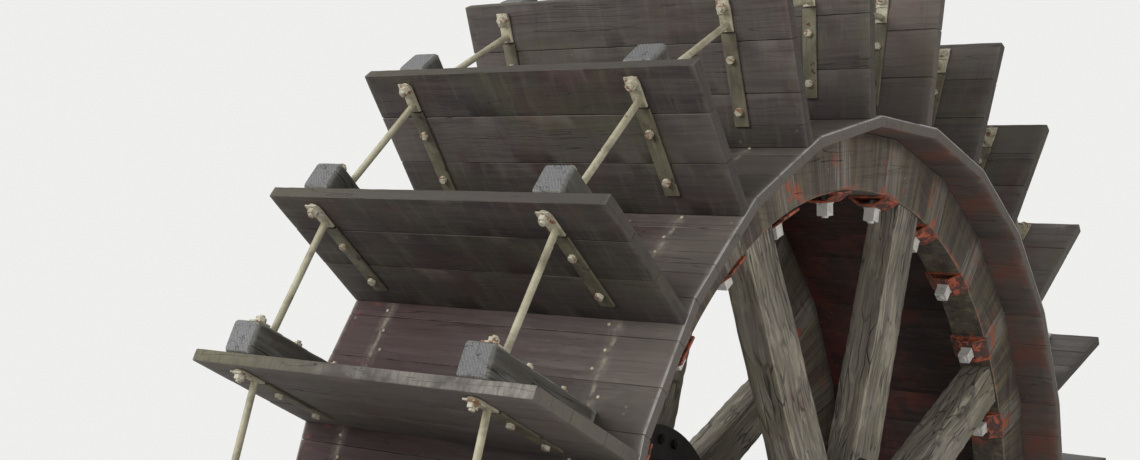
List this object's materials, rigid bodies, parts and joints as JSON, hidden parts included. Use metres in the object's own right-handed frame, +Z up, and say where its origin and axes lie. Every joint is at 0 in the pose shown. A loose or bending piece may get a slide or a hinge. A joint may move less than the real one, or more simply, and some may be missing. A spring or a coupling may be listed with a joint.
{
  "type": "water wheel",
  "caption": "Timber float-board water wheel on two arm-and-felloe rings, turning in cast-iron bearings on stone piers.",
  "frame": {"origin": "midway between the two piers, under the axle, at the level the piers stand on", "axes": "+X along the axle to the right end of the wheel, +Z up, -Y towards the side the floats' faces show"},
  "size_m": [3.175, 5.487, 5.6435],
  "materials": {
    "oak_axle": "weathered oak",
    "oak_arms": "weathered, cracked oak, grey-green",
    "oak_felloes": "weathered oak, green-brown",
    "oak_starts": "grey end grain",
    "sole_boards": "wet, rust-stained boards",
    "float_boards": "dark wet boards with pale edges",
    "cream_iron": "cream paint, worn",
    "white_iron": "off-white paint, worn",
    "red_iron": "red-oxide paint, chipped",
    "bare_iron": "old paint over rust",
    "black_iron": "blackened, rusted in places",
    "bronze": "dull, oiled",
    "stone": "squared rubble with lime joints"
  },
  "bodies": {
    "stand": {"brass_right": "bronze", "brass_left": "bronze", "bearing_right": "black_iron", "bearing_left": "black_iron", "bearing_cap_right": "black_iron", "bearing_cap_left": "black_iron", "cap_bolts_right": "black_iron", "cap_bolts_left": "black_iron", "bed_stone_right": "stone", "bed_stone_left": "stone", "pier_right": "stone", "pier_left": "stone"},
    "wheel": {"axle": "oak_axle", "axle_hoops": "black_iron", "gudgeon_right": "black_iron", "gudgeon_left": "black_iron", "hub_right": "black_iron", "hub_left": "black_iron", "arms_right": "oak_arms", "arms_left": "oak_arms", "felloes_right": "oak_felloes", "felloes_left": "oak_felloes", "sole": "sole_boards", "floats": "float_boards", "starts_right": "oak_starts", "starts_left": "oak_starts", "stays_right": "cream_iron", "stays_left": "cream_iron", "stay_feet_right": "cream_iron", "stay_feet_left": "cream_iron", "start_bolts_right": "cream_iron", "start_bolts_left": "cream_iron", "float_straps_right": "bare_iron", "float_straps_left": "bare_iron", "float_bolts_right": "cream_iron", "float_bolts_left": "cream_iron", "saddles_right": "red_iron", "saddles_left": "red_iron", "tie_bolts_right": "white_iron", "tie_bolts_left": "white_iron", "hub_bolts_right": "black_iron", "hub_bolts_left": "black_iron"}
  },
  "joints": [
    {"name": "wheel_turn", "type": "hinge", "parent": "stand", "child": "wheel", "pos_m": [0, 0, 2.9], "axis": [1, 0, 0], "continuous": true}
  ]
}
